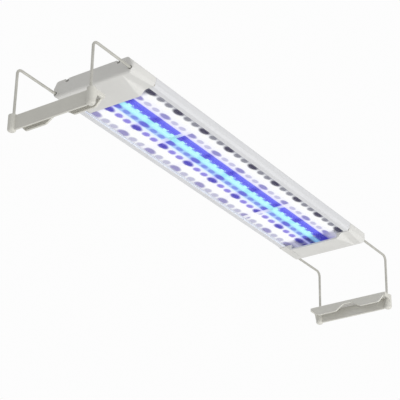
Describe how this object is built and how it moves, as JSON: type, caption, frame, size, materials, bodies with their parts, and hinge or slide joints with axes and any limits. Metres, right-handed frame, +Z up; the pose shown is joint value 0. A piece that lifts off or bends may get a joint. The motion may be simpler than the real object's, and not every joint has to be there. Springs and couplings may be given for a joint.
{
  "type": "led aquarium light",
  "caption": "Flat aluminium aquarium light with rows of white and blue LEDs underneath, grey end caps, and sliding wire legs with channel feet for a tank rim.",
  "frame": {"origin": "midway between the two feet, on the level of their lowest points", "axes": "+X along the light, towards the end with the cable gland; +Z up; the LEDs face -Z"},
  "size_m": [0.6254, 0.1104, 0.0983],
  "materials": {
    "housing_metal": "satin, silver-grey anodised extrusion",
    "cap_plastic": "satin moulded, warm light grey",
    "gasket_rubber": "pale grey silicone, matt",
    "seal_rubber": "matt",
    "screw_steel": "zinc-plated",
    "clear_plastic": "clear polished acrylic",
    "reflector_white": "glossy white",
    "strip_white": "white solder mask",
    "led_white": "lit, cool white",
    "led_blue": "lit, blue",
    "black_plastic": "moulded nylon",
    "guide_nylon": "moulded nylon",
    "stop_brass": "crimped, dull",
    "steel_wire": "drawn stainless wire",
    "foot_rubber": "soft matt strip, light grey",
    "foot_plastic": "satin moulded, warm grey",
    "board_green": "solder mask",
    "terminal_plastic": "moulded",
    "lead_insulation": "insulated copper lead, white",
    "resistor_body": "white ceramic"
  },
  "bodies": {
    "light_body": {"housing": "housing_metal", "end_cap_left": "cap_plastic", "end_cap_right": "cap_plastic", "end_gasket_left": "gasket_rubber", "end_gasket_right": "gasket_rubber", "cap_screws_left": "screw_steel", "cap_screws_right": "screw_steel", "clear_cover": "clear_plastic", "cover_seal_front": "gasket_rubber", "cover_seal_rear": "gasket_rubber", "reflector_left": "reflector_white", "reflector_middle": "reflector_white", "reflector_right": "reflector_white", "led_strip_white_front": "strip_white", "led_strip_blue": "strip_white", "led_strip_white_rear": "strip_white", "leds_white_front": "led_white", "leds_blue": "led_blue", "leds_white_rear": "led_white", "strip_resistors": "resistor_body", "wire_guide_left_front": "guide_nylon", "wire_guide_left_rear": "guide_nylon", "wire_guide_right_front": "guide_nylon", "wire_guide_right_rear": "guide_nylon", "gland_body": "black_plastic", "gland_nut": "black_plastic", "gland_seal": "seal_rubber", "gland_locknut": "black_plastic", "wiring_board": "board_green", "terminal_block": "terminal_plastic", "lead_white_front": "lead_insulation", "lead_blue": "lead_insulation", "lead_white_rear": "lead_insulation"},
    "left_leg": {"leg_wire_left_front": "steel_wire", "leg_wire_left_rear": "steel_wire", "wire_stop_left_front": "stop_brass", "wire_stop_left_rear": "stop_brass", "foot_left": "foot_plastic", "foot_pad_left": "foot_rubber"},
    "right_leg": {"leg_wire_right_front": "steel_wire", "leg_wire_right_rear": "steel_wire", "wire_stop_right_front": "stop_brass", "wire_stop_right_rear": "stop_brass", "foot_right": "foot_plastic", "foot_pad_right": "foot_rubber"}
  },
  "joints": [
    {"name": "left_leg_slide", "type": "slide", "parent": "light_body", "child": "left_leg", "axis": [1, 0, 0], "range_m": [0, 0.05]},
    {"name": "right_leg_slide", "type": "slide", "parent": "light_body", "child": "right_leg", "axis": [-1, 0, 0], "range_m": [0, 0.05]}
  ]
}
